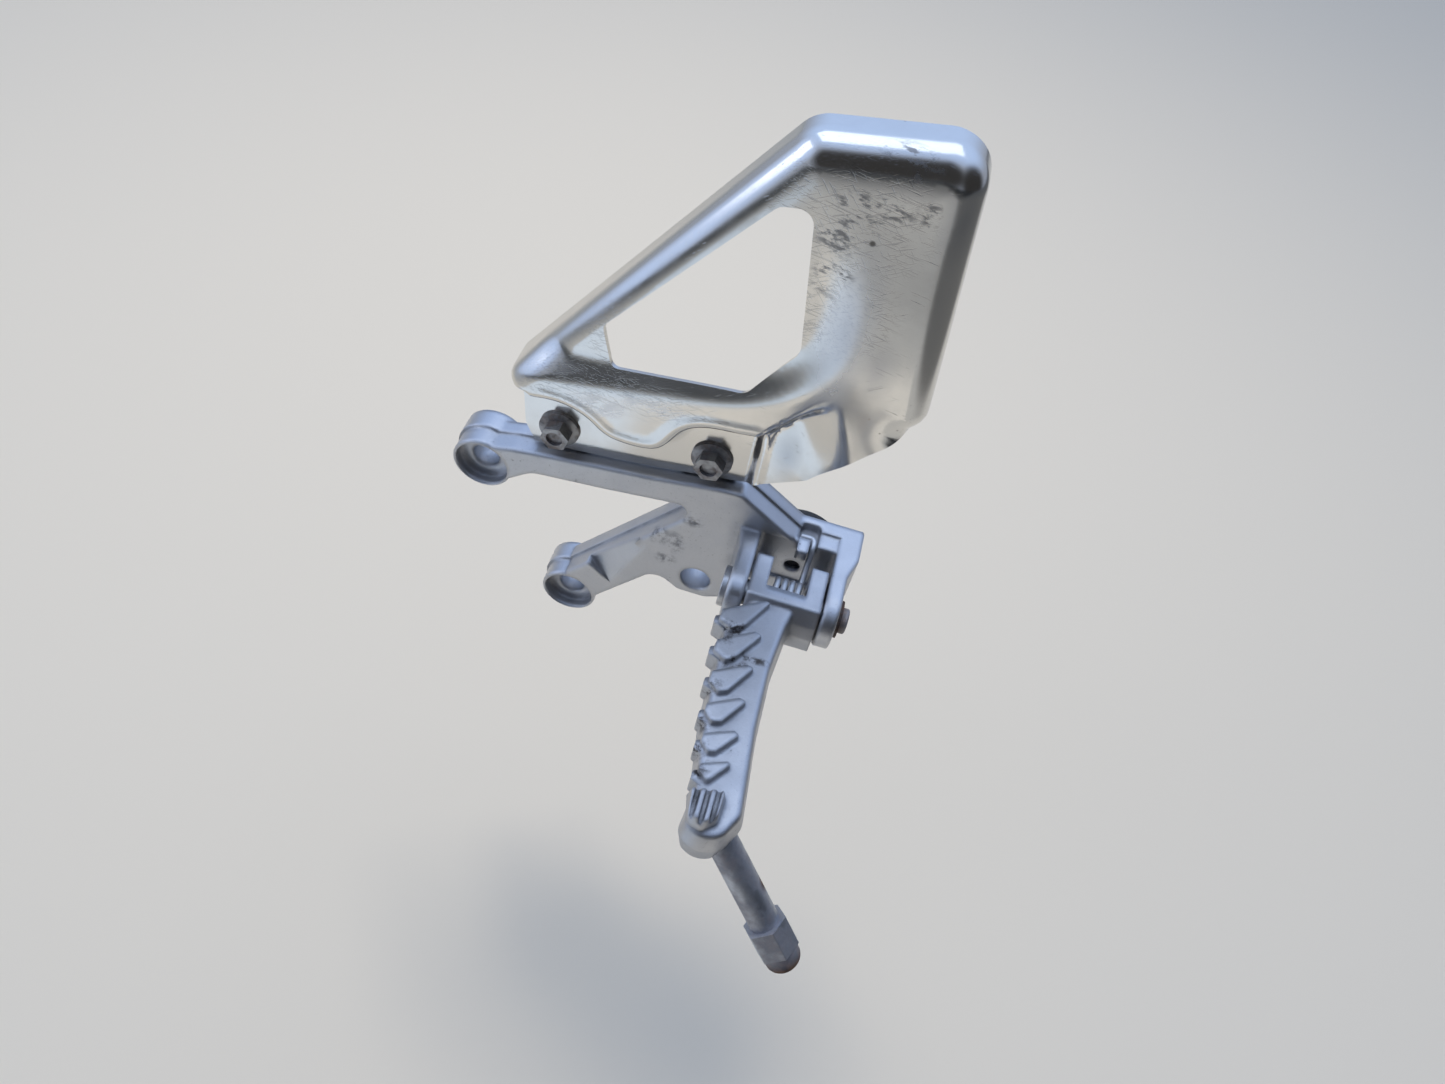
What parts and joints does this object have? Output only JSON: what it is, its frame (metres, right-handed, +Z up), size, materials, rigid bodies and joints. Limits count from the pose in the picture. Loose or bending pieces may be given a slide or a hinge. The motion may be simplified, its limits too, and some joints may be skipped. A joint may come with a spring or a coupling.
{
  "type": "motorcycle footrest hanger",
  "caption": "Cast hanger plate with two bolting eyes, a folding ribbed footpeg on a sprung pin, a pressed heel guard with a window, and an angled feeler bolt.",
  "frame": {"origin": "centre of the upper mounting bore at the face that sits on the motorcycle frame", "axes": "+X along the hinge pin of the footpeg, away from the bores; +Y towards the motorcycle; +Z up the heel guard; metres"},
  "size_m": [0.1461, 0.1275, 0.205],
  "materials": {
    "cast_aluminium": "satin cast, worn",
    "polished_sheet": "polished, scuffed",
    "footpeg_cast": "satin cast, worn, dirty between the ribs",
    "zinc_steel": "zinc plated, rust at the flange",
    "pin_steel": "turned, stained",
    "dark_steel": "dark, lightly rusted",
    "spring_steel": "dull wire",
    "black_rubber": "matt"
  },
  "bodies": {
    "hanger_body": {"hanger": "cast_aluminium", "heel_guard": "polished_sheet", "heel_guard_bolts": "zinc_steel", "pivot_pin": "pin_steel", "retaining_clip": "dark_steel", "return_spring": "spring_steel", "rear_buffer": "black_rubber"},
    "peg_body": {"footpeg": "footpeg_cast", "feeler_bolt": "zinc_steel"}
  },
  "joints": [
    {"name": "peg_fold", "type": "hinge", "parent": "hanger_body", "child": "peg_body", "pos_m": [0.1045, -0.0315, -0.0022], "axis": [-1, 0, 0], "range_deg": [0, 85], "stiffness_Nm_per_rad": 0.35, "springref_deg": -34.38}
  ]
}
